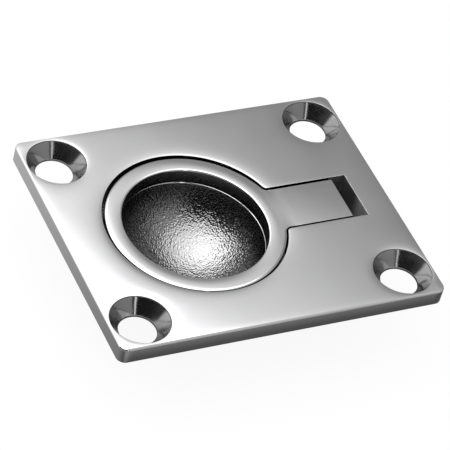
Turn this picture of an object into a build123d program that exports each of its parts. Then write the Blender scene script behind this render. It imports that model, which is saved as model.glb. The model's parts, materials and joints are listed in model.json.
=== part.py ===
from build123d import *
import os
from math import atan2, cos, degrees, radians, sin, tan

# Flush ring pull for a drawer, locker or floor hatch. A cast plate carries a round finger pan and a
# closed hinge pocket behind it, a ring folds flat into a keyhole recess, and a pressed pin holds the ring.
# Millimetres. The origin is the centre of the plate's back, which seats on the door.
# +Z points out of the door and +X points from the ring to its hinge.

# Plate
plate_length = 48.0
plate_width = 39.0
plate_thickness = 2.5
corner_radius = 1.2
plate_edge_round = 0.3

# Countersunk screw holes, set in from the plate's ends and sides
screw_end_inset = 4.55
screw_side_inset = 4.7
screw_hole_radius = 2.6
screw_head_radius = 4.15
screw_land = 0.4
screw_rim_land = 0.2

# Keyhole recess: the ring lies in its round end and the tab in its slot
ring_offset = 5.05
recess_depth = 2.5
ring_gap = 0.3
tab_side_gap = 0.38
tab_end_gap = 2.2
recess_edge_chamfer = 0.12
keyhole_corner_round = 0.6

# Ring handle
ring_inner_radius = 10.1
ring_outer_radius = 12.5
ring_undercut = 0.6
ring_crown = 0.04
ring_set_back = 0.07
ring_edge_chamfer = 0.2
tab_width = 7.1
tab_reach = 22.35
tab_end_round = 0.15

# Hinge
knuckle_radius = 2.0
knuckle_root_round = 0.4
pin_radius = 0.9
pin_clearance = 0.05
pin_depth = 3.6
pin_end_inset = 0.2
pin_end_chamfer = 0.2
swing_clearance = 0.3

# Casting behind the plate
pan_rim_radius = 10.4
pan_depth = 7.5
pan_rim_chamfer = 0.3
casting_wall = 1.5
pocket_wall = 1.8
casting_round = 0.6
boss_chamfer = 0.5
cup_side_angle = 48.0
pocket_inner_round = 0.5
casting_draft = 2.0

# Heights and stations that follow from the sizes above
face_z = plate_thickness
ledge_z = face_z - recess_depth
handle_top_z = face_z - ring_set_back
ring_x = -ring_offset
screw_spacing_x = plate_length - 2 * screw_end_inset
screw_spacing_y = plate_width - 2 * screw_side_inset
ring_middle_radius = (ring_inner_radius + ring_outer_radius) / 2
recess_radius = ring_outer_radius + ring_gap
tab_end_x = ring_x + tab_reach
slot_end_x = tab_end_x + tab_end_gap
slot_width = tab_width + 2 * tab_side_gap
pivot_x = tab_end_x - knuckle_radius
pivot_z = face_z - pin_depth

# The ring opens until its face meets the slot's end, and the pocket clears the heel at that angle
face_above_pivot = handle_top_z - pivot_z
stop_angle = 2 * degrees(atan2(tab_end_gap + knuckle_radius, face_above_pivot))
heel_drop = knuckle_radius * sin(radians(stop_angle)) - face_above_pivot * cos(radians(stop_angle))
pocket_start_x = pivot_x - knuckle_radius - swing_clearance
pocket_floor_z = pivot_z - max(heel_drop, knuckle_radius) - swing_clearance
housing_start_x = pocket_start_x - pocket_wall
housing_end_x = slot_end_x + casting_wall
housing_width = slot_width + 2 * pocket_wall
housing_floor_z = pocket_floor_z - casting_wall

# The pan is part of a sphere that ends at the chamfer below the ledge
pan_bottom_z = ledge_z - pan_depth
sphere_rim_z = ledge_z - pan_rim_chamfer
sphere_depth = sphere_rim_z - pan_bottom_z
pan_sphere_radius = (pan_rim_radius**2 + sphere_depth**2) / (2 * sphere_depth)
pan_centre_z = pan_bottom_z + pan_sphere_radius
pan_middle_z = (sphere_rim_z + pan_bottom_z) / 2
pan_middle_radius = (pan_sphere_radius**2 - (pan_centre_z - pan_middle_z) ** 2) ** 0.5

# Outside, a flat floor and one cone leave the wall's thickness round the pan's sphere
boss_radius = recess_radius + casting_wall
boss_floor_z = ledge_z - casting_wall
cup_floor_z = pan_bottom_z - casting_wall
cup_radius = pan_sphere_radius + casting_wall
cup_slope = radians(cup_side_angle)
cup_floor_radius = cup_radius * tan(cup_slope / 2)
cup_top_radius = (cup_radius - (pan_centre_z - boss_floor_z) * cos(cup_slope)) / sin(cup_slope)

# Section plane and axis through the ring's centre
ring_section = Plane(origin=(ring_x, 0, 0), x_dir=(1, 0, 0), z_dir=(0, -1, 0))
ring_axis = Axis((ring_x, 0, 0), (0, 0, 1))


def sketch_block(x_low, x_high, width):
    """A rectangle in the current sketch, from one X station to another, centred on Y."""
    with Locations(((x_low + x_high) / 2, 0)):
        return Rectangle(x_high - x_low, width)


# Body: plate, pan boss and hinge housing as one casting
with BuildPart() as recess_body:
    with BuildSketch():
        RectangleRounded(plate_length, plate_width, corner_radius)
    extrude(amount=plate_thickness)
    fillet(faces().sort_by(Axis.Z)[-1].edges(), plate_edge_round)

    # Boss round the ring and cup round the pan, turned about the ring's axis
    with BuildSketch(ring_section):
        with BuildLine():
            Polyline(
                (0, cup_floor_z),
                (0, face_z / 2),
                (boss_radius, face_z / 2),
                (boss_radius, boss_floor_z),
                (cup_top_radius, boss_floor_z),
                (cup_floor_radius, cup_floor_z),
                close=True,
            )
        make_face()
        turned_corners = vertices().filter_by_position(Axis.Y, cup_floor_z, boss_floor_z)
        chamfer(turned_corners.sort_by(Axis.X)[1:], boss_chamfer)
    revolve(axis=ring_axis)

    # Floor of the slot and the hinge housing
    with BuildSketch():
        sketch_block(ring_x, housing_end_x, housing_width)
    extrude(amount=boss_floor_z)
    with BuildSketch():
        sketch_block(housing_start_x, housing_end_x, housing_width)
        fillet(vertices(), casting_round)
    extrude(amount=housing_floor_z, taper=casting_draft)
    housing_floor = faces(Select.LAST).sort_by(Axis.Z)[0]
    fillet(housing_floor.edges(), casting_round)

    # Keyhole recess through the plate, down to the ledge that the ring rests on
    with BuildSketch(Plane.XY.offset(face_z)):
        with Locations((ring_x, 0)):
            Circle(recess_radius)
        sketch_block(ring_x, slot_end_x, slot_width)
        inner_corners = vertices().group_by(Axis.X)[-2]
        fillet(inner_corners, keyhole_corner_round)
    extrude(amount=-recess_depth, mode=Mode.SUBTRACT)

    # Finger pan inside its shell, with a chamfered rim
    with BuildSketch(ring_section):
        with BuildLine():
            Polyline(
                (0, pan_bottom_z),
                (0, ledge_z),
                (pan_rim_radius + pan_rim_chamfer, ledge_z),
                (pan_rim_radius, sphere_rim_z),
            )
            ThreePointArc(
                (0, pan_bottom_z),
                (pan_middle_radius, pan_middle_z),
                (pan_rim_radius, sphere_rim_z),
            )
        make_face()
    revolve(axis=ring_axis, mode=Mode.SUBTRACT)

    # Hinge pocket under the tab's end, closed below and open to the slot
    with BuildSketch(Plane.XY.offset(ledge_z)):
        sketch_block(pocket_start_x, slot_end_x, slot_width)
    extrude(amount=pocket_floor_z - ledge_z, mode=Mode.SUBTRACT)
    pocket_floor = faces(Select.LAST).sort_by(Axis.Z)[0]
    fillet(pocket_floor.edges(), pocket_inner_round)

    # Bore for the pin, through both side walls of the pocket
    with Locations((pivot_x, 0, pivot_z)):
        Cylinder(pin_radius, housing_width, rotation=(90, 0, 0), mode=Mode.SUBTRACT)

    # Countersinks run nearly through the plate, with a short straight land above and below the cone
    cone_top_z = face_z - screw_rim_land
    countersink_angle = 2 * degrees(
        atan2(screw_head_radius - screw_hole_radius, cone_top_z - screw_land)
    )
    with Locations(Plane.XY.offset(cone_top_z)):
        with GridLocations(screw_spacing_x, screw_spacing_y, 2, 2):
            CounterSinkHole(
                radius=screw_hole_radius,
                counter_sink_radius=screw_head_radius,
                counter_sink_angle=countersink_angle,
            )

    # The keyhole's edge on the face is broken
    face_rims = faces().sort_by(Axis.Z)[-1].inner_wires()
    keyhole_rim = face_rims.sort_by(SortBy.LENGTH)[-1]
    chamfer(keyhole_rim.edges(), recess_edge_chamfer)
recess_body.part.label = "recess_body"

# Ring handle: crowned ring, flat tab and hinge knuckle as one casting.
# The ring's outer wall leans in below its face, so that the ring lifts clear of the recess's edge.
with BuildPart() as ring_handle:
    crown_edge_z = handle_top_z - ring_crown
    with BuildSketch(ring_section):
        with BuildLine():
            Polyline(
                (ring_inner_radius, crown_edge_z),
                (ring_inner_radius, ledge_z),
                (ring_outer_radius - ring_undercut, ledge_z),
                (ring_outer_radius, crown_edge_z),
            )
            ThreePointArc(
                (ring_inner_radius, crown_edge_z),
                (ring_middle_radius, handle_top_z),
                (ring_outer_radius, crown_edge_z),
            )
        make_face()
        chamfer(vertices(), ring_edge_chamfer)
    revolve(axis=ring_axis)

    # The tab leaves the ring's crown at its highest circle
    with BuildSketch(Plane.XY.offset(ledge_z)):
        sketch_block(ring_x, tab_end_x, tab_width)
        with Locations((ring_x, 0)):
            Circle(ring_middle_radius, mode=Mode.SUBTRACT)
    extrude(amount=handle_top_z - ledge_z)

    # Knuckle below the tab's end, with its heel in line with the end face
    tab_middle_z = (ledge_z + handle_top_z) / 2
    with BuildSketch(Plane.XZ):
        with Locations((pivot_x, pivot_z)):
            Circle(knuckle_radius)
        with BuildLine():
            Polyline(
                (pivot_x, pivot_z),
                (tab_end_x, pivot_z),
                (tab_end_x, tab_middle_z),
                (pivot_x - 2 * knuckle_radius, tab_middle_z),
                (pivot_x - 2 * knuckle_radius, ledge_z),
                (pivot_x, ledge_z),
                close=True,
            )
        make_face()
        knuckle_root = vertices().filter_by_position(Axis.Y, ledge_z, ledge_z).sort_by(Axis.X)[-1]
        fillet(knuckle_root, knuckle_root_round)
    extrude(amount=tab_width / 2, both=True)
    with Locations((pivot_x, 0, pivot_z)):
        Cylinder(
            pin_radius + pin_clearance, tab_width, rotation=(90, 0, 0), mode=Mode.SUBTRACT
        )
    tab_end_edge = edges().filter_by(Axis.Y).group_by(Axis.Z)[-1].sort_by(Axis.X)[-1]
    fillet(tab_end_edge, tab_end_round)
ring_handle.part.label = "ring_handle"

# Hinge pin, pressed into the pocket's walls
with BuildPart() as hinge_pin:
    pin_length = housing_width - 2 * pin_end_inset
    with Locations((pivot_x, 0, pivot_z)):
        Cylinder(pin_radius, pin_length, rotation=(90, 0, 0))
    chamfer(edges().filter_by(GeomType.CIRCLE), pin_end_chamfer)
hinge_pin.part.label = "hinge_pin"

os.makedirs("parts", exist_ok=True)
for piece in (recess_body, ring_handle, hinge_pin):
    export_step(piece.part, f"parts/{piece.part.label}.step")
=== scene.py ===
import json
from math import asin, atan2, cos, hypot, pi, radians, sin, sqrt, tan

import bmesh
import bpy
import numpy as np
from mathutils import Matrix, Vector
from mathutils.geometry import delaunay_2d_cdt


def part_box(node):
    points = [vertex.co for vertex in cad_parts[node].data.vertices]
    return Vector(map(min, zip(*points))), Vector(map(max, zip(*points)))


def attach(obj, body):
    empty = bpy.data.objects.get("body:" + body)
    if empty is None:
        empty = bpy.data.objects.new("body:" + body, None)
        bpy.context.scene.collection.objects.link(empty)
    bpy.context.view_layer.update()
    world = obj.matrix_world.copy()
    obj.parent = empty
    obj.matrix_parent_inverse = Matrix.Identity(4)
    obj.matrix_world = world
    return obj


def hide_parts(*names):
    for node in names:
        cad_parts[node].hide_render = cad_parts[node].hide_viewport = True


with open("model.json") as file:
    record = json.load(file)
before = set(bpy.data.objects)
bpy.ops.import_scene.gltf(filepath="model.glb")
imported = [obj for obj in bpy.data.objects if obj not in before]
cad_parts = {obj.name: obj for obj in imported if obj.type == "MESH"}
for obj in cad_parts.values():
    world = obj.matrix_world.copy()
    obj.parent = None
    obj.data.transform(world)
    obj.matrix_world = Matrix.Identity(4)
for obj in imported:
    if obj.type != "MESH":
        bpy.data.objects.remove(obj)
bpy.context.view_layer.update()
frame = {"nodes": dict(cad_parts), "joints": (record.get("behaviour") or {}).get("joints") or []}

# Surfaces are built in millimetres and scaled to metres as the mesh is made
MM = 0.001

# Sizes that the frame gives
body_low, body_high = (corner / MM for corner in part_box("recess_body"))
ring_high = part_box("ring_handle")[1] / MM
hinge = frame["joints"][0]
pivot_x, pivot_z = hinge["pos_m"][0] / MM, hinge["pos_m"][2] / MM
half_length, half_width, face_z = body_high.x, body_high.y, body_high.z
back_z = body_low.z
tab_end_x = ring_high.x
handle_top_z = ring_high.z

# Plate
corner_radius = 1.2
plate_edge_round = 0.22
back_edge_round = 0.1

# Countersunk screw holes, set in from the plate's ends and sides
screw_end_inset = 4.55
screw_side_inset = 4.7
screw_x, screw_y = half_length - screw_end_inset, half_width - screw_side_inset
screw_centres = [(sx * screw_x, sy * screw_y) for sx in (-1, 1) for sy in (-1, 1)]
screw_hole_radius = 2.6
screw_head_radius = 4.15
screw_land = 0.4
screw_rim_land = 0.2
cone_blend = 0.04

# Ring handle
ring_x = -5.05
ring_inner_radius = 10.1
ring_outer_radius = 12.5
tab_half_width = 3.55
handle_neck_round = 0.9
inner_crown = 0.026
outer_crown = 0.019
ring_lean = radians(0.75)
ring_lean_towards = radians(62.0)
ring_rim_round = 0.35
eye_rim_round = 0.2
neck_rim_round = 0.04
tab_rim_round = 0.005
ring_foot_round = 0.15
ring_undercut = 0.6
ring_undercut_at_foot = 0.54
knuckle_radius = 2.0
knuckle_root_round = 0.4
knuckle_root_x = pivot_x - knuckle_radius - knuckle_root_round
knuckle_top_z = handle_top_z - 0.3
pin_bore_radius = 0.95
# The ring has play on its pin and lies a little askew, towards the near side
ring_play = -0.1

# Across the neck the ring's face passes into the tab's, between these distances past the ring's edge
lean_fade = (-2.4, 2.0)
ring_crown_fade = (-1.9, -0.5)
tab_crown_fade = (-1.5, 1.0)
# The tab falls towards its end, by this much times the square of the distance from its start
tab_fall = 0.0005
tab_fall_start_x = 9.0

# Keyhole recess, with the room that it leaves round the ring and its tab
ring_gap = 0.3
tab_side_gap = 0.38
tab_end_gap = 2.2
recess_radius = ring_outer_radius + ring_gap
slot_half_width = tab_half_width + tab_side_gap
slot_end_x = tab_end_x + tab_end_gap
neck_round = 0.6
recess_rim_round = 0.005
recess_middle_z = 1.2

# Casting behind the plate, with a pocket in which the knuckle swings
swing_clearance = 0.3
casting_wall = 1.5
pocket_wall = 1.8
pan_rim_radius = 10.05
pan_depth = 7.5
pan_rim_round = 0.13
pocket_start_x = pivot_x - knuckle_radius - swing_clearance
pocket_floor_z = -4.04
pocket_round = 0.5
housing_start_x = pocket_start_x - pocket_wall
housing_end_x = slot_end_x + casting_wall
housing_half_width = slot_half_width + pocket_wall
housing_floor_z = pocket_floor_z - casting_wall
housing_round = 0.6
casting_draft = radians(2.0)
boss_radius = recess_radius + casting_wall
boss_floor_z = -casting_wall
boss_chamfer = 0.5
cup_slope = radians(48.0)

# The pan's sphere meets its rim round below the ledge
sphere_depth = pan_depth - pan_rim_round
sphere_radius = (pan_rim_radius**2 + sphere_depth**2) / (2 * sphere_depth)
sphere_centre_z = sphere_radius - pan_depth

# The cup behind the pan leaves the casting's wall round the sphere
cup_radius = sphere_radius + casting_wall
cup_floor_radius = cup_radius * tan(cup_slope / 2)
cup_rise = sphere_centre_z - boss_floor_z
cup_top_radius = (cup_radius - cup_rise * cos(cup_slope)) / sin(cup_slope)

# Rounds as shares of their size: how far the row still stands back from the wall, and its drop
plate_edge_profile = ((0.62, 0.3), (0.3, 0.62), (0.1, 0.95), (0.0, 1.3))
pan_rim_profile = ((1.0, 0.0), (0.6, 0.05), (0.3, 0.3), (0.1, 0.6), (0.0, 1.0))
# A small round has one middle row, at this share of its size from both faces
round_middle = 0.3

# Skin of the pan as cast: length, height and number of each set of waves
relief_waves = ((1.3, 0.004, 14), (0.6, 0.004, 22), (0.29, 0.0062, 34))
relief_stretch = (0.75, 1.3)
relief_seed = 7
# Towards the rim the waves fade over this angle
relief_fade = 0.05

# Polishing dubs the face down towards each opening and edge: how far it reaches and how deep
keyhole_dub = (0.8, 0.031)
keyhole_dub_lobe = 0.45
keyhole_lobe_turn = radians(185.0)
slot_dub = (0.3, 0.005)
screw_dub = (0.6, 0.016)
edge_dub = (0.7, 0.0085)
# Along the slot it loses this share of its depth between two stations
slot_dub_loss = 0.7
slot_dub_fade = (8.0, 17.0)

# Steps along a keyhole's outline: its sides before and beside the hinge, its end, necks and round part
near_steps = 24
far_steps = 30
end_steps = 35
neck_steps = 8
ring_steps = 288
# The outline's points from hinge_first to hinge_last run beside the hinge and round its end
hinge_first = near_steps
hinge_last = near_steps + 2 * far_steps + end_steps
# The skin of the slot's end starts with the end and takes some steps of the far side wall too
far_wall_steps = 11
end_skin_first = near_steps + far_steps
end_skin_steps = end_steps + far_wall_steps

# Steps along other outlines and rounds
circle_steps = 96
corner_steps = 8
plate_across_steps, plate_along_steps = 92, 74
round_steps = 4
rim_steps = 7
lead_steps = 24
mouth_steps = 24
bore_steps = 48
boss_steps = 180
boss_side_steps, boss_end_steps = 24, 20
cup_steps = 144
housing_across_steps, housing_along_steps, housing_corner_steps = 10, 12, 6
root_points, knuckle_points, tab_end_points = 7, 37, 6
pan_points = 58000

# Grids of points on the faces: their step, and how far apart the points stay
fine_step, fine_clear = 0.22, 0.15
coarse_step, coarse_clear = 0.6, 0.4
tab_step, tab_clear = 0.3, 0.14
tab_grid_low = (ring_x + 10, -tab_half_width - 1)
tab_grid_high = (tab_end_x - 0.15, tab_half_width + 1)
ring_rows, ring_clear = 9, 0.12
# Bands along the openings and edges: their start, stop and step, and how far apart points stay
screw_band = (0.15, 1.4, 0.17, 0.12)
keyhole_band = (0.12, 0.55, 0.14, 0.1)
edge_band = (0.12, 1.1, 0.16, 0.12)
# The fine grid reaches this far from the keyhole, the edge and the countersinks
fine_reach = (1.8, 1.0, 1.4)

# Rows this far from the edges of the faces, the plate's side and its back, and of the pan as an
# angle, keep the shading of the edges off the surface between them
edge_hold = 0.035
side_hold = 0.06
back_hold = 0.05
pan_hold = 0.012
# Points on the face stay this far from the rows along the plate's edge and the openings
edge_margin = 0.06
rim_margin = 0.05
screw_rim_radius = screw_head_radius + recess_rim_round + edge_hold


class Surface:
    """The points and faces of one closed piece, gathered patch by patch."""

    def __init__(self):
        self.points = []
        self.faces = []
        self.skins = []

    def add(self, points):
        """Adds a row of points and returns their numbers."""
        start = len(self.points)
        self.points.extend(tuple(float(value) for value in point) for point in points)
        return list(range(start, len(self.points)))

    def face(self, numbers, skin):
        """Adds one face."""
        self.faces.append(tuple(numbers))
        self.skins.append(skin)

    def bridge(self, first, second, skin=0, closed=True):
        """Joins two rows of equal length with quads."""
        count = len(first)
        for i in range(count if closed else count - 1):
            j = (i + 1) % count
            self.face((first[i], first[j], second[j], second[i]), skin)

    def bridge_all(self, rows, skin=0, closed=True):
        """Joins each row to the next."""
        for first, second in zip(rows, rows[1:]):
            self.bridge(first, second, skin, closed)

    def fill(self, loops, inner=(), axes=(0, 1), skin=0):
        """Triangles over the region that the loops bound, seen along the axis that isn't named."""
        least_gap = 1e-7
        numbers = [number for loop in loops for number in loop] + list(inner)
        flat = np.array([[self.points[n][axes[0]], self.points[n][axes[1]]] for n in numbers])
        edges = []
        start = 0
        for loop in loops:
            edges += [(start + i, start + (i + 1) % len(loop)) for i in range(len(loop))]
            start += len(loop)
        found = delaunay_2d_cdt([Vector(point) for point in flat], edges, [], 0, least_gap, True)
        source = np.array([ids[0] for ids in found[3]])
        triangles = source[np.array(found[2])]
        # Triangles inside: a line from the centre along +X crosses the loops an odd number of times
        centres = flat[triangles].mean(axis=1)
        crossings = np.zeros(len(centres), int)
        for a, b in edges:
            (ax, ay), (bx, by) = flat[a], flat[b]
            if ay == by:
                continue
            straddles = (centres[:, 1] < ay) != (centres[:, 1] < by)
            reach = ax + (centres[:, 1] - ay) * (bx - ax) / (by - ay)
            crossings += straddles & (centres[:, 0] < reach)
        for triangle in triangles[crossings % 2 == 1]:
            self.face((numbers[i] for i in triangle), skin)

    def build(self, name, materials, sharp_angle=radians(32)):
        """Makes the piece's object, in metres, with its faces turned outwards."""
        least_gap = 1e-8
        mesh = bpy.data.meshes.new(name)
        mesh.from_pydata([Vector(point) * MM for point in self.points], [], self.faces)
        for material in materials:
            mesh.materials.append(material)
        mesh.polygons.foreach_set("material_index", self.skins)
        work = bmesh.new()
        work.from_mesh(mesh)
        bmesh.ops.remove_doubles(work, verts=work.verts, dist=least_gap)
        loose = [vert for vert in work.verts if not vert.link_faces]
        bmesh.ops.delete(work, geom=loose, context="VERTS")
        bmesh.ops.recalc_face_normals(work, faces=work.faces)
        work.to_mesh(mesh)
        work.free()
        mesh.shade_smooth()
        mesh.set_sharp_from_angle(angle=sharp_angle)
        piece = bpy.data.objects.new(name, mesh)
        bpy.context.scene.collection.objects.link(piece)
        return piece


def at_height(flat, height):
    """Lifts flat points to one height, or to their own."""
    heights = np.broadcast_to(height, (len(flat),))
    return np.column_stack([flat, heights])


def arc(centre, radius, start, end, count):
    """Points of an arc, without its last one."""
    turn = np.linspace(start, end, count, endpoint=False)
    return np.column_stack([centre[0] + radius * np.cos(turn), centre[1] + radius * np.sin(turn)])


def circle(centre, radius, count=circle_steps):
    """Points of a circle, from +X."""
    return arc(centre, radius, 0, 2 * pi, count)


def line(start, end, count):
    """Points of a line, without its last one."""
    share = np.linspace(0, 1, count, endpoint=False)[:, None]
    return np.array(start) + share * (np.array(end) - np.array(start))


def rounded_rectangle(low, high, radius, across, along, corner):
    """A rectangle with round corners. across, along and corner are the steps on its stretches."""
    (x0, y0), (x1, y1) = low, high
    return np.vstack([
        line((x0 + radius, y0), (x1 - radius, y0), across),
        arc((x1 - radius, y0 + radius), radius, -pi / 2, 0, corner),
        line((x1, y0 + radius), (x1, y1 - radius), along),
        arc((x1 - radius, y1 - radius), radius, 0, pi / 2, corner),
        line((x1 - radius, y1), (x0 + radius, y1), across),
        arc((x0 + radius, y1 - radius), radius, pi / 2, pi, corner),
        line((x0, y1 - radius), (x0, y0 + radius), along),
        arc((x0 + radius, y0 + radius), radius, pi, 1.5 * pi, corner),
    ])


def plate_outline(inset):
    """The plate's outline, this far inside its edge."""
    least_corner = 1e-4
    reach_x, reach_y = half_length - inset, half_width - inset
    return rounded_rectangle((-reach_x, -reach_y), (reach_x, reach_y),
                             max(corner_radius - inset, least_corner),
                             plate_across_steps, plate_along_steps, corner_steps)


def keyhole(radius, half_slot, end_x, neck, split_x):
    """A circle round the ring's axis joined to a slot along +X, with rounded necks.
    The slot's sides have a point at split_x. Counts don't depend on the sizes."""
    neck_y = half_slot + neck
    neck_x = sqrt((radius + neck) ** 2 - neck_y**2)
    swing = atan2(neck_y, neck_x)
    neck_x += ring_x
    return np.vstack([
        line((neck_x, -half_slot), (split_x, -half_slot), near_steps),
        line((split_x, -half_slot), (end_x, -half_slot), far_steps),
        line((end_x, -half_slot), (end_x, half_slot), end_steps),
        line((end_x, half_slot), (split_x, half_slot), far_steps),
        line((split_x, half_slot), (neck_x, half_slot), near_steps),
        arc((neck_x, neck_y), neck, -pi / 2, -pi + swing, neck_steps),
        arc((ring_x, 0), radius, swing, 2 * pi - swing, ring_steps),
        arc((neck_x, -neck_y), neck, pi - swing, pi / 2, neck_steps),
    ])


def recess_outline(grow):
    """The keyhole recess, this much larger all round."""
    return keyhole(recess_radius + grow, slot_half_width + grow, slot_end_x + grow,
                   neck_round - grow, pocket_start_x)


def handle_outline(ring_inset, tab_inset):
    """The handle's outline, with its ring and its tab moved inwards."""
    return keyhole(ring_outer_radius - ring_inset, tab_half_width - tab_inset,
                   tab_end_x - tab_inset, handle_neck_round + 0.5 * (ring_inset + tab_inset),
                   knuckle_root_x)


def boss_outline(inset):
    """A circle round the ring's axis joined to the housing's sides, moved inwards round the circle."""
    radius = boss_radius - inset
    reach = asin(housing_half_width / radius)
    side_x = ring_x + radius * cos(reach)
    return np.vstack([
        line((side_x, -housing_half_width), (housing_end_x, -housing_half_width), boss_side_steps),
        line((housing_end_x, -housing_half_width), (housing_end_x, housing_half_width), boss_end_steps),
        line((housing_end_x, housing_half_width), (side_x, housing_half_width), boss_side_steps),
        arc((ring_x, 0), radius, reach, 2 * pi - reach, boss_steps),
    ])


def hex_grid(low, high, step):
    """Points of a triangular grid from one corner of a rectangle to the other."""
    rows = []
    for k, y in enumerate(np.arange(low[1], high[1], step * sqrt(3) / 2)):
        xs = np.arange(low[0] + (k % 2) * step / 2, high[0], step)
        rows.append(np.column_stack([xs, np.full(len(xs), y)]))
    return np.vstack(rows)


def distance_from(centre, flat):
    """How far each point lies from the centre."""
    return np.hypot(flat[:, 0] - centre[0], flat[:, 1] - centre[1])


def keyhole_gaps(flat):
    """How far each point lies outside the recess's round end, and outside its slot."""
    round_gap = distance_from((ring_x, 0), flat) - recess_radius
    over_x = np.abs(flat[:, 0] - (ring_x + slot_end_x) / 2) - (slot_end_x - ring_x) / 2
    over_y = np.abs(flat[:, 1]) - slot_half_width
    slot_gap = np.hypot(np.maximum(over_x, 0), np.maximum(over_y, 0))
    return round_gap, slot_gap + np.minimum(np.maximum(over_x, over_y), 0)


def distance_to_keyhole(flat):
    """How far each point lies outside the keyhole recess, with its necks rounded."""
    round_gap, slot_gap = keyhole_gaps(flat)
    lift = np.hypot(np.maximum(neck_round - round_gap, 0), np.maximum(neck_round - slot_gap, 0))
    return np.maximum(neck_round, np.minimum(round_gap, slot_gap)) - lift


def distance_to_edge(flat):
    """How far each point lies inside the plate's outline."""
    over_x = np.abs(flat[:, 0]) - (half_length - corner_radius)
    over_y = np.abs(flat[:, 1]) - (half_width - corner_radius)
    outside = np.hypot(np.maximum(over_x, 0), np.maximum(over_y, 0))
    return corner_radius - outside - np.minimum(np.maximum(over_x, over_y), 0)


def smooth_step(value, low, high):
    """From nothing to one, between two values."""
    share = np.clip((value - low) / (high - low), 0, 1)
    return share * share * (3 - 2 * share)


def dub(distance, reach, depth):
    """How far polishing takes the face down at this distance from an edge."""
    return depth * np.exp(-np.maximum(distance, 0) / reach)


def face_height(flat):
    """The polished face's height over the plate."""
    round_gap, slot_gap = keyhole_gaps(flat)
    turn = np.arctan2(flat[:, 1], flat[:, 0] - ring_x)
    lobe = 1 + keyhole_dub_lobe * np.maximum(np.cos(turn - keyhole_lobe_turn), 0) ** 2
    drop = lobe * dub(round_gap, *keyhole_dub)
    slot_share = 1 - slot_dub_loss * smooth_step(flat[:, 0], *slot_dub_fade)
    drop = drop + slot_share * dub(slot_gap, *slot_dub)
    drop = drop + dub(distance_to_edge(flat) - plate_edge_round, *edge_dub)
    for centre in screw_centres:
        drop = drop + dub(distance_from(centre, flat) - screw_head_radius, *screw_dub)
    return face_z - drop


def spread(groups, taken):
    """Points of the groups, in turn, that keep their group's clear distance from all before them."""
    cell = 0.25
    cells = {}

    def crowded(point, clear):
        home_x, home_y = int(point[0] // cell), int(point[1] // cell)
        span = int(clear // cell) + 1
        for i in range(home_x - span, home_x + span + 1):
            for j in range(home_y - span, home_y + span + 1):
                for other in cells.get((i, j), ()):
                    if hypot(point[0] - other[0], point[1] - other[1]) < clear:
                        return True
        return False

    def keep(point):
        cells.setdefault((int(point[0] // cell), int(point[1] // cell)), []).append(point)

    for point in taken:
        keep(point)
    kept = []
    for points, clear in groups:
        for point in points:
            if not crowded(point, clear):
                keep(point)
                kept.append(point)
    return np.array(kept)


def quarter_round(steps):
    """Rows of a quarter round, after its first: the share of it left to go, and the share gone."""
    for k in range(1, steps + 1):
        angle = 0.5 * pi * k / steps
        yield 1 - sin(angle), 1 - cos(angle)


def edge_rows(surface, outline, radius, heights, steps=round_steps):
    """Rows of a quarter round from a face down into a wall. outline gives the loop at an inset."""
    return [surface.add(at_height(outline(radius * left), heights - radius * gone))
            for left, gone in quarter_round(steps)]


def turned_rows(surface, centre, profile, count=circle_steps):
    """Circles round the centre, one for each radius and height of the profile."""
    return [surface.add(at_height(circle(centre, radius, count), height)) for radius, height in profile]


# The body's skins: polished face, pan as cast, casting's back, walls and ledge darkened as painted
# shade, countersinks, slot's end with painted light
POLISHED, PAN, BACK, DARK, CONE, SLOT_END = range(6)


def face_row(body, flat):
    """Adds points on the polished face."""
    return body.add(at_height(flat, face_height(flat)))


def on_face(flat):
    """Those of the points that lie on the face, clear of the rows along its edges."""
    clear = distance_to_edge(flat) > plate_edge_round + edge_hold + edge_margin
    clear &= distance_to_keyhole(flat) > recess_rim_round + edge_hold + rim_margin
    for centre in screw_centres:
        clear &= distance_from(centre, flat) > screw_rim_radius + rim_margin
    return flat[clear]


def face_points():
    """Groups of points inside the face, with how far apart they stay: bands along each opening and
    edge, a fine grid where the face is dubbed and a coarse one over the rest."""
    bands = (
        (screw_band, lambda out: [circle(centre, screw_rim_radius + out) for centre in screw_centres]),
        (keyhole_band, lambda out: [recess_outline(recess_rim_round + out)]),
        (edge_band, lambda out: [plate_outline(plate_edge_round + out)]),
    )
    groups = []
    for (start, stop, step, clear), outlines in bands:
        for out in np.arange(start, stop, step):
            groups += [(on_face(flat), clear) for flat in outlines(out)]
    low, high = (-half_length, -half_width), (half_length, half_width)
    fine = on_face(hex_grid(low, high, fine_step))
    keyhole_reach, edge_reach, screw_reach = fine_reach
    dubbed = distance_to_keyhole(fine) < keyhole_reach
    dubbed |= distance_to_edge(fine) < plate_edge_round + edge_reach
    for centre in screw_centres:
        dubbed |= distance_from(centre, fine) < screw_rim_radius + screw_reach
    groups.append((fine[dubbed], fine_clear))
    groups.append((on_face(hex_grid(low, high, coarse_step)), coarse_clear))
    return groups


def build_face(body):
    """The polished face. Returns its loops: the plate's edge, the keyhole and the countersinks."""
    flats = [plate_outline(plate_edge_round + edge_hold),
             recess_outline(recess_rim_round + edge_hold)]
    flats += [circle(centre, screw_rim_radius) for centre in screw_centres]
    loops = [face_row(body, flat) for flat in flats]
    inner = face_row(body, spread(face_points(), np.vstack(flats)))
    body.fill(loops, inner, skin=POLISHED)
    return loops


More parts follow.
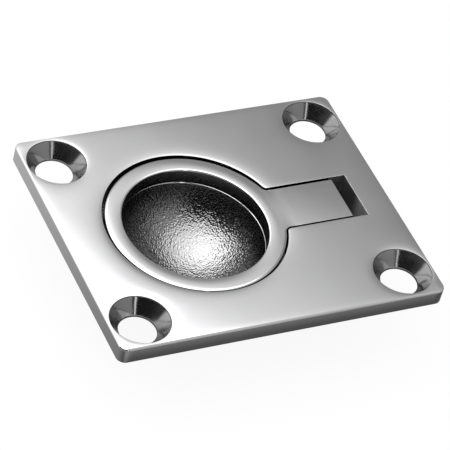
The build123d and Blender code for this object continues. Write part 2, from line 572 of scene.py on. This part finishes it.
def build_plate_side(body, edge_loop):
    """The plate's edge and side. Returns the outline of its back."""
    edge_flat = plate_outline(plate_edge_round)
    edge_height = face_height(edge_flat)
    rows = [edge_loop, face_row(body, edge_flat)]
    for inset, drop in plate_edge_profile:
        flat = plate_outline(plate_edge_round * inset)
        rows.append(body.add(at_height(flat, edge_height - plate_edge_round * drop)))
    side_top = face_z - plate_edge_profile[-1][1] * plate_edge_round - side_hold
    middle = back_edge_round * round_middle
    for inset, height in ((0.0, side_top), (0.0, back_edge_round + back_hold), (0.0, back_edge_round),
                          (middle, middle), (back_edge_round, 0.0)):
        rows.append(body.add(at_height(plate_outline(inset), height)))
    body.bridge_all(rows, POLISHED)
    return rows[-1]


def build_countersink(body, centre, loop):
    """A rounded rim, a short land, the cone and the bore. Returns the bore's edge on the back."""
    rim_flat = circle(centre, screw_head_radius + recess_rim_round)
    rows = [loop, face_row(body, rim_flat)]
    rows += edge_rows(body, lambda grow: circle(centre, screw_head_radius + grow),
                      recess_rim_round, face_height(rim_flat))
    body.bridge_all(rows, POLISHED)
    cone_top = face_z - screw_rim_land
    profile = (
        (screw_head_radius, cone_top + 0.5 * cone_blend),
        (screw_head_radius - 0.25 * cone_blend, cone_top - 0.125 * cone_blend),
        (screw_head_radius - cone_blend, cone_top - 1.125 * cone_blend),
        (screw_hole_radius + cone_blend, screw_land + 1.25 * cone_blend),
        (screw_hole_radius, screw_land - 0.5 * cone_blend),
        (screw_hole_radius, back_edge_round),
        (screw_hole_radius + back_edge_round, 0.0),
    )
    cone_rows = rows[-1:] + turned_rows(body, centre, profile)
    body.bridge_all(cone_rows, CONE)
    return cone_rows[-1]


def build_keyhole_wall(body, recess_loop):
    """The keyhole's rim and walls. Returns their foot on the ledge."""
    rim_flat = recess_outline(recess_rim_round)
    rows = [recess_loop, face_row(body, rim_flat)]
    rows += edge_rows(body, recess_outline, recess_rim_round, face_height(rim_flat))
    body.bridge_all(rows, POLISHED)
    wall_flat = recess_outline(0.0)
    wall_rows = rows[-1:] + [body.add(at_height(wall_flat, z)) for z in (recess_middle_z, 0.0)]
    body.bridge_all(wall_rows, DARK)
    # The slot's end has its own skin on both rows
    for row in (1, 2):
        start = len(body.skins) - row * len(wall_flat) + end_skin_first
        body.skins[start:start + end_skin_steps] = [SLOT_END] * end_skin_steps
    return wall_rows[-1]


def build_ledge(body, ledge_loop):
    """The ledge and the pan's rim. Returns the edge of the pan and the loop round the hinge pocket."""
    mouth_ends = (pocket_start_x, slot_half_width), (pocket_start_x, -slot_half_width)
    mouth = body.add(at_height(line(*mouth_ends, mouth_steps)[1:], 0.0))
    ledge_outline = ledge_loop[:hinge_first + 1] + mouth[::-1] + ledge_loop[hinge_last:]
    rim_profile = [(pan_rim_radius + out * pan_rim_round, -drop * pan_rim_round)
                   for out, drop in pan_rim_profile]
    rim_rows = turned_rows(body, (ring_x, 0), rim_profile, ring_steps)
    body.bridge_all(rim_rows, POLISHED)
    body.fill([ledge_outline, rim_rows[0]], skin=DARK)
    return rim_rows[-1], ledge_loop[hinge_first:hinge_last + 1] + mouth


def cast_relief(points):
    """How far the cast skin stands in or out at each point, as a sum of small waves."""
    random = np.random.default_rng(relief_seed)
    relief = np.zeros(len(points))
    for length, height, count in relief_waves:
        for _ in range(count):
            direction = random.normal(size=3)
            direction /= np.linalg.norm(direction)
            stretch = length * random.uniform(*relief_stretch)
            phase = random.uniform(0, 2 * pi)
            wave = np.sin(2 * pi * points @ direction / stretch + phase)
            relief += height * wave / sqrt(count / 2)
    return relief


def build_pan(body, pan_edge):
    """The pan's sphere as evenly spread points, with the cast skin's relief."""
    edge_angle = asin(pan_rim_radius / sphere_radius)
    # Points on a sunflower spiral cover equal areas of the sphere
    share = (np.arange(pan_points) + 0.5) / pan_points
    height = 1 - share * (1 - cos(edge_angle - pan_hold))
    turn = np.arange(pan_points) * pi * (3 - sqrt(5))
    out = np.sqrt(1 - height**2)
    directions = np.column_stack([out * np.cos(turn), out * np.sin(turn), -height])
    relief = cast_relief(directions * sphere_radius)
    fade = np.clip((edge_angle - np.arccos(height)) / relief_fade, 0, 1)
    points = directions * (sphere_radius + (relief * fade)[:, None])
    points += np.array([ring_x, 0, sphere_centre_z])
    body.fill([pan_edge], body.add(points), skin=PAN)


def build_pocket(body, pocket_top):
    """Hinge pocket: straight walls, a rounded foot and a flat floor."""
    top_flat = np.array([body.points[n][:2] for n in pocket_top])
    centre = np.array([(pocket_start_x + slot_end_x) / 2, 0.0])
    half = np.array([(slot_end_x - pocket_start_x) / 2, slot_half_width])

    def pocket_row(inset, height):
        scale = (half - inset) / half
        return body.add(at_height(centre + (top_flat - centre) * scale, height))

    rows = [pocket_top, pocket_row(0.0, pocket_floor_z + pocket_round)]
    rows += [pocket_row(pocket_round * gone, pocket_floor_z + pocket_round * left)
             for left, gone in quarter_round(round_steps)]
    body.bridge_all(rows, SLOT_END)
    body.fill([rows[-1]], skin=SLOT_END)


def build_boss(body, back_outline, bore_loops):
    """The back of the plate and the boss round the recess. Returns the edge of the boss's floor."""
    stations = ((0.0, 0.0), (0.0, boss_floor_z + boss_chamfer), (boss_chamfer, boss_floor_z))
    rows = [body.add(at_height(boss_outline(inset), height)) for inset, height in stations]
    body.bridge_all(rows, BACK)
    body.fill([back_outline, *bore_loops, rows[0]], skin=BACK)
    return rows[-1]


def build_cup(body):
    """The cup round the pan. Returns its edge on the boss's floor."""
    # Both of its bends are blended, with one middle row each
    blend = boss_chamfer
    blend_out, blend_down = blend * cos(cup_slope), blend * sin(cup_slope)
    top_out, floor_out, middle_down = 0.25 * blend, 0.2 * blend, 0.12 * blend
    profile = (
        (cup_top_radius + blend, boss_floor_z),
        (cup_top_radius + top_out, boss_floor_z - middle_down),
        (cup_top_radius - blend_out, boss_floor_z - blend_down),
        (cup_floor_radius + blend_out, back_z + blend_down),
        (cup_floor_radius + floor_out, back_z + middle_down),
        (cup_floor_radius - blend, back_z),
    )
    rows = turned_rows(body, (ring_x, 0), profile, cup_steps)
    body.bridge_all(rows, BACK)
    body.fill([rows[-1]], skin=BACK)
    return rows[0]


def build_housing(body):
    """The hinge housing, with its draft and a round foot. Returns its edge on the boss's floor."""
    def housing_row(height, inset=0.0):
        draw = -height * tan(casting_draft) + inset
        low = (housing_start_x + draw, -housing_half_width + draw)
        high = (housing_end_x - draw, housing_half_width - draw)
        return body.add(at_height(
            rounded_rectangle(low, high, housing_round, housing_across_steps, housing_along_steps,
                              housing_corner_steps), height))

    foot_reach = 0.98 * housing_round
    rows = [housing_row(boss_floor_z), housing_row(housing_floor_z + housing_round)]
    rows += [housing_row(housing_floor_z + housing_round * left, foot_reach * gone)
             for left, gone in quarter_round(round_steps)]
    body.bridge_all(rows, BACK)
    body.fill([rows[-1]], skin=BACK)
    return rows[0]


def build_body(materials):
    """The casting, from its face down through its openings and round its back."""
    body = Surface()
    edge_loop, recess_loop, *screw_loops = build_face(body)
    back_outline = build_plate_side(body, edge_loop)
    bore_loops = [build_countersink(body, centre, loop)
                  for centre, loop in zip(screw_centres, screw_loops)]
    ledge_loop = build_keyhole_wall(body, recess_loop)
    pan_edge, pocket_top = build_ledge(body, ledge_loop)
    build_pan(body, pan_edge)
    build_pocket(body, pocket_top)
    boss_floor = build_boss(body, back_outline, bore_loops)
    cup_edge = build_cup(body)
    housing_edge = build_housing(body)
    body.fill([boss_floor, cup_edge, housing_edge], skin=BACK)
    return body.build("recess_casting", materials)


# The ring handle's second skin: its walls are rougher than its face, and their dark colour is painted
# shade
WALL = 1


def rim_rounds():
    """The round of each outline point: larger round the ring than along the tab."""
    tab_count = 2 * (near_steps + far_steps) + end_steps
    neck = np.linspace(tab_rim_round, neck_rim_round, neck_steps)
    lead = np.linspace(neck_rim_round, ring_rim_round, lead_steps)
    return np.concatenate([np.full(tab_count, tab_rim_round), neck, lead,
                           np.full(ring_steps - 2 * lead_steps, ring_rim_round), lead[::-1],
                           neck[::-1]])


def handle_height(flat):
    """The height of the handle's face: barely crowned across the ring and across the tab."""
    radius = distance_from((ring_x, 0), flat)
    past_centre = flat[:, 0] - ring_x

    def passed(stations):
        """From nothing to one, between two distances past the ring's edge."""
        start, end = stations
        return smooth_step(past_centre, ring_outer_radius + start, ring_outer_radius + end)

    # The ring falls to its edges and the tab to its sides, and one fades into the other
    half = (ring_outer_radius - ring_inner_radius) / 2
    drop = inner_crown * np.clip(1 - (radius - ring_inner_radius) / half, 0, 1) ** 2
    ring_in = ring_outer_radius - radius
    tab_in = tab_half_width - np.abs(flat[:, 1])
    ring_share, tab_share = 1 - passed(ring_crown_fade), passed(tab_crown_fade)
    drop = drop + outer_crown * ring_share * np.clip(1 - ring_in / half, 0, 1) ** 2
    drop = drop + outer_crown * tab_share * np.clip(1 - tab_in / tab_half_width, 0, 1) ** 2
    # The ring's face leans outwards on its far side and inwards on its near side
    turn = np.arctan2(flat[:, 1], past_centre)
    lean = tan(ring_lean) * np.cos(turn - ring_lean_towards) * (1 - passed(lean_fade))
    drop = drop + lean * (radius - ring_inner_radius - half)
    drop = drop + tab_fall * np.maximum(flat[:, 0] - tab_fall_start_x, 0) ** 2
    return handle_top_z - drop


def handle_row(ring, flat):
    """Adds points on the handle's face."""
    return ring.add(at_height(flat, handle_height(flat)))


def eye_outline(grow):
    """The ring's eye, this much larger."""
    return circle((ring_x, 0), ring_inner_radius + grow, ring_steps)


def build_handle_face(ring):
    """The handle's face, with rings of points round the eye and a grid on the tab. Returns its loops."""
    flats = [handle_outline(ring_rim_round + edge_hold, tab_rim_round + edge_hold),
             eye_outline(eye_rim_round + edge_hold)]
    loops = [handle_row(ring, flat) for flat in flats]
    first_radius = ring_inner_radius + eye_rim_round
    face_width = ring_outer_radius - ring_inner_radius - ring_rim_round - eye_rim_round
    groups = [(circle((ring_x, 0), first_radius + face_width * k / ring_rows, ring_steps), ring_clear)
              for k in range(1, ring_rows)]
    groups.append((hex_grid(tab_grid_low, tab_grid_high, tab_step), tab_clear))
    inner = handle_row(ring, spread(groups, np.vstack(flats)))
    ring.fill(loops, inner)
    return loops


def build_handle_rim(ring, face_loop):
    """The rim round the face. Returns the top of the side wall."""
    face_flat = handle_outline(ring_rim_round, tab_rim_round)
    heights, rounds = handle_height(face_flat), rim_rounds()
    rows = [face_loop, handle_row(ring, face_flat)]
    for left, gone in quarter_round(rim_steps):
        flat = handle_outline(ring_rim_round * left, tab_rim_round * left)
        rows.append(ring.add(at_height(flat, heights - rounds * gone)))
    ring.bridge_all(rows)
    return rows[-1]


def build_handle_side(ring, wall_top):
    """The side wall, which leans in round the ring, as far as the knuckle's sides."""
    round_part = [*range(hinge_last, len(wall_top)), *range(hinge_first + 1)]
    foot, middle = ring_foot_round, ring_foot_round * round_middle

    def side_row(ring_inset, tab_inset, height):
        flat = handle_outline(ring_inset, tab_inset)
        return ring.add(at_height(flat[round_part], height))

    rows = [[wall_top[i] for i in round_part],
            side_row(ring_undercut_at_foot, 0.0, foot),
            side_row(ring_undercut + middle, middle, middle),
            side_row(ring_undercut + foot, foot, 0.0)]
    ring.bridge_all(rows, WALL, closed=False)
    return rows


def build_eye(ring, eye_loop):
    """The eye's rim and wall. Returns its foot."""
    rim_flat = eye_outline(eye_rim_round)
    rows = [eye_loop, handle_row(ring, rim_flat)]
    rows += edge_rows(ring, eye_outline, eye_rim_round, handle_height(rim_flat), rim_steps)
    ring.bridge_all(rows)
    foot, middle = ring_foot_round, ring_foot_round * round_middle
    wall_rows = rows[-1:] + [ring.add(at_height(eye_outline(grow), height))
                             for grow, height in ((0.0, foot), (middle, middle), (foot, 0.0))]
    ring.bridge_all(wall_rows, WALL)
    return wall_rows[-1]


def build_knuckle(ring, wall_top, side_rows):
    """The knuckle below the tab's end, with flat sides and the pin's bore through them."""
    # Its profile runs from the root round the pin to the tab's end
    profile = [(knuckle_root_x + knuckle_root_round * sin(turn),
                -knuckle_root_round + knuckle_root_round * cos(turn))
               for turn in np.linspace(0, 0.5 * pi, root_points)]
    profile += [(pivot_x + knuckle_radius * cos(turn), pivot_z + knuckle_radius * sin(turn))
                for turn in np.linspace(pi, 2 * pi, knuckle_points)]
    profile += [(tab_end_x, z) for z in np.linspace(pivot_z, knuckle_top_z, tab_end_points)[1:-1]]

    def both_sides(outline):
        return [ring.add([(x, y, z) for x, z in outline]) for y in (-tab_half_width, tab_half_width)]

    near_side, far_side = both_sides(profile)
    ring.bridge(near_side, far_side, WALL, closed=False)
    near_bore, far_bore = both_sides(circle((pivot_x, pivot_z), pin_bore_radius, bore_steps))
    ring.bridge(near_bore, far_bore, WALL)

    # Each side closes between the tab's edge, the profile and the ends of the side wall's rows
    end_first, end_last = hinge_first + far_steps, hinge_last - far_steps
    near_foot = [row[-1] for row in side_rows[1:]]
    far_foot = [row[0] for row in side_rows[1:]]
    near_top = wall_top[hinge_first:end_first + 1]
    far_top = wall_top[end_last:hinge_last + 1][::-1]
    for top, side, foot, bore in ((near_top, near_side, near_foot, near_bore),
                                  (far_top, far_side, far_foot, far_bore)):
        ring.fill([top + side[::-1] + [foot[1], foot[0]], bore], axes=(0, 2), skin=WALL)
    # The end face closes between the knuckle's last row and the tab's end edge
    end_row = wall_top[end_first:end_last + 1]
    ring.fill([end_row + [far_side[-1], near_side[-1]]], axes=(1, 2), skin=WALL)
    # The root's small steps at the corners of the foot
    ring.face((near_foot[2], near_foot[1], near_side[0]), WALL)
    ring.face((far_foot[2], far_foot[1], far_side[0]), WALL)
    ring.face((near_foot[2], near_side[0], far_side[0], far_foot[2]), WALL)


def build_ring(materials):
    """The ring with its tab and knuckle, as it lies in its play."""
    ring = Surface()
    face_loop, eye_loop = build_handle_face(ring)
    wall_top = build_handle_rim(ring, face_loop)
    side_rows = build_handle_side(ring, wall_top)
    eye_foot = build_eye(ring, eye_loop)
    ring.fill([side_rows[-1], eye_foot], skin=WALL)
    build_knuckle(ring, wall_top, side_rows)
    reach = pivot_x - ring_x
    ring.points = [(x, y + ring_play * (pivot_x - x) / reach, z) for x, y, z in ring.points]
    return ring.build("ring_casting", materials)


# Materials


class Nodes:
    """Shorthand for the nodes of a material or a world: makes nodes and joins them."""

    def __init__(self, owner):
        owner.use_nodes = True
        self.tree = owner.node_tree
        self.tree.nodes.clear()

    def make(self, kind, inputs=None, **settings):
        """A node with its settings, and with a value or a link on each input named."""
        node = self.tree.nodes.new(kind)
        for name, value in settings.items():
            setattr(node, name, value)
        for socket, value in (inputs or {}).items():
            if isinstance(value, bpy.types.NodeSocket):
                self.tree.links.new(value, node.inputs[socket])
            else:
                node.inputs[socket].default_value = value
        return node

    def math(self, operation, *values):
        """One step of arithmetic."""
        return self.make("ShaderNodeMath", dict(enumerate(values)), operation=operation).outputs[0]

    def ramp(self, value, low, high, start, end, interpolation="SMOOTHSTEP"):
        """Goes from start to end while the value goes from low to high."""
        found = self.make("ShaderNodeMapRange", {
            "Value": value, "From Min": low, "From Max": high, "To Min": start, "To Max": end},
            interpolation_type=interpolation)
        return found.outputs[0]

    def even_grey(self, level):
        """A colour with the level in each channel."""
        return self.make("ShaderNodeCombineColor", {i: level for i in range(3)}).outputs[0]


def grey(value):
    """A grey with a trace of blue."""
    blue = 1.012
    return (value, value, value * blue, 1.0)


def plating(name, colour, roughness, grain_height=0.0, grain_scale=2500.0, fade=None):
    """Plating over metal, with the uneven gloss that polishing leaves. fade is an axis, where the
    colour starts and ends to change along it, and the tone that it reaches."""
    haze_scale, haze_low, haze_high = 160.0, 0.3, 0.7
    smoothest, roughest = 0.8, 1.25
    material = bpy.data.materials.new(name)
    nodes = Nodes(material)
    place = nodes.make("ShaderNodeTexCoord").outputs["Object"]
    haze = nodes.make("ShaderNodeTexNoise", {"Vector": place, "Scale": haze_scale, "Detail": 3.0})
    gloss = nodes.ramp(haze.outputs["Fac"], haze_low, haze_high, roughness * smoothest,
                       roughness * roughest, interpolation="LINEAR")
    grain = nodes.make("ShaderNodeTexNoise", {"Vector": place, "Scale": grain_scale, "Detail": 0.0})
    relief = nodes.math("MULTIPLY", grain.outputs["Fac"], grain_height)
    bump = nodes.make("ShaderNodeBump", {"Height": relief, "Strength": 1.0, "Distance": 1.0})
    shader = nodes.make("ShaderNodeBsdfPrincipled", {
        "Base Color": grey(colour), "Metallic": 1.0, "Roughness": gloss, "Normal": bump.outputs[0]})
    if fade:
        # The colour changes along the axis; this paints shade into the pan and light into the slot's end
        axis, start, end, tone = fade
        split = nodes.make("ShaderNodeSeparateXYZ", {0: place})
        level = nodes.ramp(split.outputs[axis], start * MM, end * MM, colour, tone)
        nodes.tree.links.new(nodes.even_grey(level), shader.inputs["Base Color"])
    nodes.make("ShaderNodeOutputMaterial", {"Surface": shader.outputs[0]})
    return material


# Stage, light and camera

# Lights of the tent: azimuth and height of the centre and two angles from it, in degrees, and level
soft_box = (-57.6, 73.1, 47.6, 52.8, 0.55)
soft_box_rim = (-57.6, 73.1, 47.1, 48.3, 0.85)
soft_box_core = (-55.0, 66.0, 20.0, 38.0, 1.25)
right_fill = (130.0, 58.0, 15.0, 52.0, 0.18)

# Walls of the tent: two azimuths or heights in degrees, with the levels there
wall_middle_azimuth = -50.0
wall_levels = (25.0, 75.0, 0.45, 0.27)
low_wall_levels = (30.0, 65.0, 0.55, 0.0)
low_wall_top = (22.0, 42.0, 1.0, 0.0)
right_wall_levels = (60.0, 120.0, 0.0, 0.12)
right_wall_top = (50.0, 70.0, 1.0, 0.0)

# The opening behind the camera, and the gap of light beside it
opening_left = (-77.0, -61.0, 1.0, 0.0)
opening_right = (167.0, 172.0, 0.0, 1.0)
opening_top = (36.0, 44.0, 1.0, 0.0)
opening_darkness = 0.93
gap_sides = (176.2, 178.4, 0.0, 1.0)
gap_top = (40.0, 50.0, 1.0, 0.0)
gap_level = 1.7


def lamp(nodes, direction, centre_azimuth, centre_height, inner, outer, level):
    """Light from directions near the centre, falling to nothing between two angles from it."""
    azimuth, height = radians(centre_azimuth), radians(centre_height)
    centre = (sin(azimuth) * cos(height), cos(azimuth) * cos(height), sin(height))
    dot = nodes.make("ShaderNodeVectorMath", {0: direction, 1: centre}, operation="DOT_PRODUCT")
    angle = nodes.math("ARCCOSINE", dot.outputs["Value"])
    return nodes.math("MULTIPLY", nodes.ramp(angle, radians(inner), radians(outer), 1.0, 0.0), level)


def build_world():
    """A light tent with a soft box overhead and a dark opening behind the camera."""
    world = bpy.data.worlds.new("light_tent")
    bpy.context.scene.world = world
    nodes = Nodes(world)
    direction = nodes.make("ShaderNodeTexCoord").outputs["Generated"]
    split = nodes.make("ShaderNodeSeparateXYZ", {0: direction})
    azimuth = nodes.math("ARCTAN2", split.outputs["X"], split.outputs["Y"])
    azimuth = nodes.math("MULTIPLY", azimuth, 180 / pi)
    height = nodes.math("MULTIPLY", nodes.math("ARCSINE", split.outputs["Z"]), 180 / pi)

    # Walls of the tent, lighter to the left
    from_middle = nodes.math("ABSOLUTE", nodes.math("SUBTRACT", azimuth, wall_middle_azimuth))
    walls = nodes.ramp(from_middle, *wall_levels)
    # A large soft box overhead and to the left, with a sharper rim, and a weaker one behind to the right
    box = nodes.math("ADD", lamp(nodes, direction, *soft_box), lamp(nodes, direction, *soft_box_rim))
    core, fill = lamp(nodes, direction, *soft_box_core), lamp(nodes, direction, *right_fill)
    light = nodes.math("ADD", nodes.math("ADD", walls, box), nodes.math("ADD", core, fill))
    # The tent's lower walls are lighter: white to the left, grey to the right
    low = nodes.math("MULTIPLY", nodes.ramp(from_middle, *low_wall_levels),
                     nodes.ramp(height, *low_wall_top))
    side = nodes.math("MULTIPLY", nodes.ramp(azimuth, *right_wall_levels),
                      nodes.ramp(height, *right_wall_top))
    light = nodes.math("ADD", light, nodes.math("ADD", low, side))
    # The tent's opening behind the camera is dark, below the roof
    opening = nodes.math("MAXIMUM", nodes.ramp(azimuth, *opening_left),
                         nodes.ramp(azimuth, *opening_right))
    opening = nodes.math("MULTIPLY", opening, nodes.ramp(height, *opening_top))
    shade = nodes.math("SUBTRACT", 1.0, nodes.math("MULTIPLY", opening, opening_darkness))
    light = nodes.math("MULTIPLY", light, shade)
    # A narrow gap of light beside the opening
    gap = nodes.math("MULTIPLY", nodes.ramp(nodes.math("ABSOLUTE", azimuth), *gap_sides),
                     nodes.ramp(height, *gap_top))
    light = nodes.math("ADD", light, nodes.math("MULTIPLY", gap, gap_level))
    background = nodes.make("ShaderNodeBackground", {"Color": nodes.even_grey(light), "Strength": 1.0})
    nodes.make("ShaderNodeOutputWorld", {"Surface": background.outputs[0]})


def ground_square(name, reach, drop):
    """A square that lies this far below the object, and the nodes of its material."""
    height = back_z * MM - drop
    corners = [(-reach, -reach, height), (reach, -reach, height),
               (reach, reach, height), (-reach, reach, height)]
    mesh = bpy.data.meshes.new(name)
    mesh.from_pydata(corners, [], [(0, 1, 2, 3)])
    material = bpy.data.materials.new(name)
    mesh.materials.append(material)
    square = bpy.data.objects.new(name, mesh)
    bpy.context.scene.collection.objects.link(square)
    return square, Nodes(material)


def build_floor():
    """A white floor, which still takes the object's shadow."""
    floor, nodes = ground_square("floor", reach=3.0, drop=0.00002)
    plain_level, white_share = 0.8, 0.93
    path = nodes.make("ShaderNodeLightPath")
    seen = nodes.math("MAXIMUM", path.outputs["Is Camera Ray"], path.outputs["Is Glossy Ray"])
    seen = nodes.math("MAXIMUM", seen, path.outputs["Is Transmission Ray"])
    plain = nodes.make("ShaderNodeBsdfDiffuse", {"Color": grey(plain_level)})
    white = nodes.make("ShaderNodeEmission", {"Color": (1, 1, 1, 1), "Strength": 1.0})
    share = nodes.math("MULTIPLY", seen, white_share)
    mix = nodes.make("ShaderNodeMixShader", {0: share, 1: plain.outputs[0], 2: white.outputs[0]})
    nodes.make("ShaderNodeOutputMaterial", {"Surface": mix.outputs[0]})


# The card shows only in reflections, as a painted reflection of shade: its grey rises towards the back
# left. In front, along Y, two ramps multiply it, the first making it darker close to the plate as a
# painted shadow. Each ramp has two stations in metres and the levels there
card_towards = (-0.578, 0.816, 0.0)
card_levels = (-0.012, 0.05, 0.12, 0.5)
card_painted_shadow = (-0.0296, -0.0272, 2.1, 0.66)
card_beside = (-0.0265, -0.018, 1.0, 1.5)


def build_reflected_shade_card():
    """A glowing grey sheet round the object, unseen by the camera, which only its polished sides
    reflect: a painted reflection of shade.
    """
    card, nodes = ground_square("reflected_shade_card", reach=0.16, drop=0.00001)
    place = nodes.make("ShaderNodeTexCoord").outputs["Object"]
    away = nodes.make("ShaderNodeVectorMath", {0: place, 1: card_towards}, operation="DOT_PRODUCT")
    level = nodes.ramp(away.outputs["Value"], *card_levels)
    split = nodes.make("ShaderNodeSeparateXYZ", {0: place})
    front = nodes.ramp(split.outputs["Y"], *card_painted_shadow, interpolation="LINEAR")
    beside = nodes.ramp(split.outputs["Y"], *card_beside, interpolation="LINEAR")
    level = nodes.math("MULTIPLY", level, nodes.math("MULTIPLY", front, beside))
    glow = nodes.make("ShaderNodeEmission", {"Color": nodes.even_grey(level), "Strength": 1.0})
    nodes.make("ShaderNodeOutputMaterial", {"Surface": glow.outputs[0]})
    for ray in ("camera", "diffuse", "shadow", "transmission", "volume_scatter"):
        setattr(card, f"visible_{ray}", False)


# The photograph's viewpoint in millimetres, its camera's right and forward directions, and its lens
camera_place = (-166.05, -234.43, 271.47)
camera_right = (0.89425, -0.39929, 0.20199)
camera_ahead = (0.42010, 0.59420, -0.68590)
camera_lens, camera_sensor = 233.74, 36.0


def build_camera():
    """The photograph's view: three quarters from the left, 43 degrees down, and rolled."""
    data = bpy.data.cameras.new("camera")
    data.sensor_width = camera_sensor
    data.lens = camera_lens
    data.clip_start = 0.01
    data.clip_end = 20.0
    camera = bpy.data.objects.new("camera", data)
    ahead = Vector(camera_ahead).normalized()
    up = Vector(camera_right).normalized().cross(ahead).normalized()
    right = ahead.cross(up)
    turn = Matrix((right, up, -ahead)).transposed().to_4x4()
    camera.matrix_world = Matrix.Translation(Vector(camera_place) * MM) @ turn
    bpy.context.scene.collection.objects.link(camera)
    bpy.context.scene.camera = camera


chrome = 0.82
chrome_gloss = 0.07
polished = plating("polished_plating", chrome, chrome_gloss)
# The pan's colour falls from 0.33 deep down to 0.05 near its rim: painted shade in the recess
pan_skin = plating("plated_casting", 0.33, 0.06, grain_height=0.00006, grain_scale=4600.0,
                   fade=("Z", -4.8, -0.6, 0.05))
back_skin = plating("plated_back", 0.45, 0.4, grain_height=0.00002)
# The walls are rougher than the face, and their colour of 0.09 is painted shade in the keyhole's walls,
# its ledge and the ring's walls
shaded_wall_skin = plating("plated_wall_painted_shade", 0.09, 0.25, grain_height=0.00002)
cone_skin = plating("countersink", 0.37, 0.14, grain_height=0.00003, grain_scale=700.0)
# The slot's end and the pocket are lighter on the near side, 0.95 there falling to 0.38 past the middle
# along Y: painted light
slot_end_skin = plating("plated_slot_end", 0.95, 0.4, grain_height=0.00002,
                        fade=("Y", -1.5, 0.5, 0.38))
ring_skin = plating("ring_plating", chrome, chrome_gloss)
steel = plating("pin_steel", 0.55, 0.3)

casting = build_body([polished, pan_skin, back_skin, shaded_wall_skin, cone_skin, slot_end_skin])
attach(casting, "body")
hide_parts("recess_body")

handle = build_ring([ring_skin, shaded_wall_skin])
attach(handle, "ring")
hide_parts("ring_handle")

pin = frame["nodes"]["hinge_pin"]
pin.data.materials.clear()
pin.data.materials.append(steel)

build_world()
build_floor()
build_reflected_shade_card()
build_camera()
bpy.context.scene.view_settings.view_transform = "Standard"
